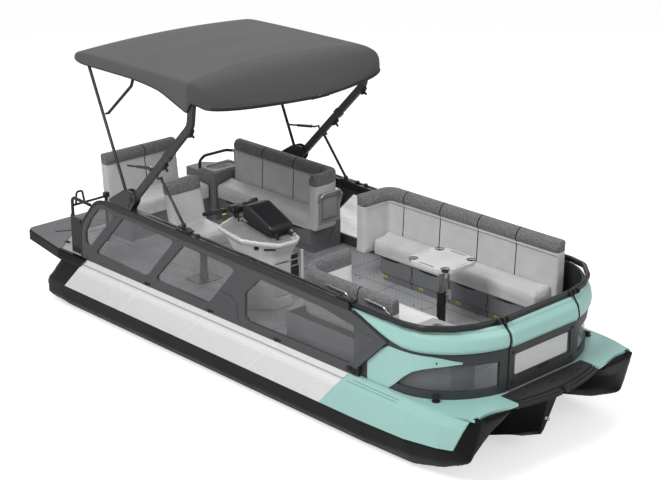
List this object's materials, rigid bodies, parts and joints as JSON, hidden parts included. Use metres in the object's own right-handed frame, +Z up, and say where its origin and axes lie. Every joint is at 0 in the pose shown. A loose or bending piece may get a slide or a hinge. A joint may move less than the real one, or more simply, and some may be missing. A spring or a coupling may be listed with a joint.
{
  "type": "pontoon boat",
  "caption": "Three-hull pontoon boat with fenced deck, lounges, helm console and folding bimini top.",
  "frame": {"origin": "middle of the length and beam, on the keels' plane", "axes": "+X to the bow, +Y to port, +Z up"},
  "size_m": [6.3997, 2.32, 2.838],
  "materials": {
    "hull_black": "satin moulded polymer",
    "panel_white": "gloss skin",
    "cap_teal": "gloss skin",
    "deck_grey": "fine diamond texture",
    "mould_dark": "fine leather grain",
    "pane_smoke": "smoked",
    "rail_black": "satin powder coat",
    "seat_base": "textured",
    "vinyl": "soft marine vinyl",
    "console_shell": "satin gelcoat",
    "hood_dark": "satin",
    "bar_rubber": "grip",
    "alloy": "cast",
    "iron": "painted block",
    "pole_black": "black anodised",
    "canvas": "woven acrylic canvas",
    "grey_plastic": "moulded"
  },
  "bodies": {
    "boat": {"outer_hulls": "hull_black", "centre_hull": "hull_black", "side_panels": "panel_white", "bow_caps": "cap_teal", "deck": "deck_grey", "bow_platform": "mould_dark", "swim_platform": "mould_dark", "side_fences": "mould_dark", "window_panes": "pane_smoke", "side_rails": "rail_black", "bow_fences": "mould_dark", "bow_bands": "cap_teal", "bow_rails": "rail_black", "stern_rails": "rail_black", "stern_bench_base": "seat_base", "stern_bench_back": "vinyl", "corner_box": "grey_plastic", "port_bench_base": "seat_base", "port_bench_back": "vinyl", "lounge_base": "seat_base", "lounge_back": "vinyl", "bow_seat_base": "seat_base", "bow_seat_back": "vinyl", "bow_seat_corner": "vinyl", "stern_caps": "hull_black", "bow_plates": "cap_teal", "bow_tray_base": "grey_plastic", "bow_tray": "grey_plastic", "chair_pedestal": "alloy", "console": "console_shell", "console_hood": "hood_dark", "table_top": "grey_plastic", "table_post": "alloy", "engine": "iron", "jet_pump": "alloy", "bimini_brackets": "rail_black"},
    "gate": {"gate_frame": "mould_dark", "gate_pane": "pane_smoke", "gate_band": "cap_teal"},
    "stern_seat_lid": {"stern_bench_cushion": "vinyl"},
    "corner_lid_body": {"corner_lid": "grey_plastic"},
    "port_seat_lid": {"port_bench_cushion": "vinyl"},
    "lounge_lid_aft": {"lounge_cushion_aft": "vinyl"},
    "lounge_lid_fwd": {"lounge_cushion_fwd": "vinyl"},
    "bow_seat_lid": {"bow_seat_cushion": "vinyl"},
    "helm_chair": {"chair": "vinyl"},
    "locker_door": {"console_door": "console_shell"},
    "helm_bar": {"handlebar": "bar_rubber"},
    "pump_impeller": {"impeller": "alloy"},
    "steering_nozzle": {"jet_nozzle": "alloy"},
    "bimini_arch_body": {"bimini_arch": "rail_black", "canopy": "canvas"},
    "rear_bow_body": {"bimini_rear_bow": "pole_black"},
    "mid_bow_body": {"bimini_mid_bow": "pole_black"},
    "strut_body": {"bimini_struts": "pole_black"},
    "link_body": {"bimini_links": "grey_plastic"}
  },
  "joints": [
    {"name": "gate_swing", "type": "hinge", "parent": "boat", "child": "gate", "pos_m": [2.834, 0.428, 1], "axis": [0, 0, -1], "range_deg": [0, 90]},
    {"name": "stern_seat_lift", "type": "hinge", "parent": "boat", "child": "stern_seat_lid", "pos_m": [-2.396, 0, 1.118], "axis": [0, -1, 0], "range_deg": [0, 80]},
    {"name": "corner_lid_lift", "type": "hinge", "parent": "boat", "child": "corner_lid_body", "pos_m": [-2.265, 0.8, 1.1803], "axis": [0, -1, 0], "range_deg": [0, 75]},
    {"name": "port_seat_lift", "type": "hinge", "parent": "boat", "child": "port_seat_lid", "pos_m": [-1.3, 0.816, 1.118], "axis": [-1, 0, 0], "range_deg": [0, 80]},
    {"name": "lounge_lift_aft", "type": "hinge", "parent": "boat", "child": "lounge_lid_aft", "pos_m": [0.8, 0.816, 1.118], "axis": [-1, 0, 0], "range_deg": [0, 80]},
    {"name": "lounge_lift_fwd", "type": "hinge", "parent": "boat", "child": "lounge_lid_fwd", "pos_m": [1.8, 0.816, 1.118], "axis": [-1, 0, 0], "range_deg": [0, 80]},
    {"name": "bow_seat_lift", "type": "hinge", "parent": "boat", "child": "bow_seat_lid", "pos_m": [1.56, -0.844, 1.072], "axis": [1, 0, 0], "range_deg": [0, 80]},
    {"name": "chair_swivel", "type": "hinge", "parent": "boat", "child": "helm_chair", "pos_m": [-0.79, -0.585, 1.025], "axis": [0, 0, 1], "range_deg": [-80, 80]},
    {"name": "locker_swing", "type": "hinge", "parent": "boat", "child": "locker_door", "pos_m": [0.3027, -0.6247, 0.95], "axis": [0, 0, -1], "range_deg": [0, 100]},
    {"name": "helm_turn", "type": "hinge", "parent": "boat", "child": "helm_bar", "pos_m": [-0.286, -0.585, 1.5], "axis": [0, 0, 1], "range_deg": [-22.5, 22.5]},
    {"name": "impeller_spin", "type": "hinge", "parent": "boat", "child": "pump_impeller", "pos_m": [-2.575, 0, 0.19], "axis": [1, 0, 0], "continuous": true},
    {"name": "nozzle_steer", "type": "hinge", "parent": "boat", "child": "steering_nozzle", "pos_m": [-2.746, 0, 0.19], "axis": [0, 0, 1], "range_deg": [-20.5, 20.5]},
    {"name": "bimini_fold", "type": "hinge", "parent": "boat", "child": "bimini_arch_body", "pos_m": [-1.19, 0, 1.49], "axis": [0, -1, 0], "range_deg": [0, 105], "deforming": ["canopy"]},
    {"name": "rear_bow_fold", "type": "hinge", "parent": "boat", "child": "rear_bow_body", "pos_m": [-1.28, 0, 1.466], "axis": [0, -1, 0], "range_deg": [0, 52.6]},
    {"name": "mid_bow_fold", "type": "hinge", "parent": "rear_bow_body", "child": "mid_bow_body", "pos_m": [-1.6, 0, 2.25], "axis": [0, -1, 0], "range_deg": [0, 50.1]},
    {"name": "strut_fold", "type": "hinge", "parent": "bimini_arch_body", "child": "strut_body", "pos_m": [-0.818, 0, 1.78], "axis": [0, -1, 0], "range_deg": [0, 96.6]},
    {"name": "link_fold", "type": "hinge", "parent": "bimini_arch_body", "child": "link_body", "pos_m": [-0.936, 0, 1.843], "axis": [0, -1, 0], "range_deg": [0, 36.8]}
  ],
  "couplings": [
    {"joint": "nozzle_steer", "follows": "helm_turn", "ratio": -0.889},
    {"joint": "rear_bow_fold", "follows": "bimini_fold", "ratio": 0.5},
    {"joint": "mid_bow_fold", "follows": "bimini_fold", "ratio": 0.476},
    {"joint": "strut_fold", "follows": "bimini_fold", "ratio": 0.919},
    {"joint": "link_fold", "follows": "bimini_fold", "ratio": 0.35}
  ]
}
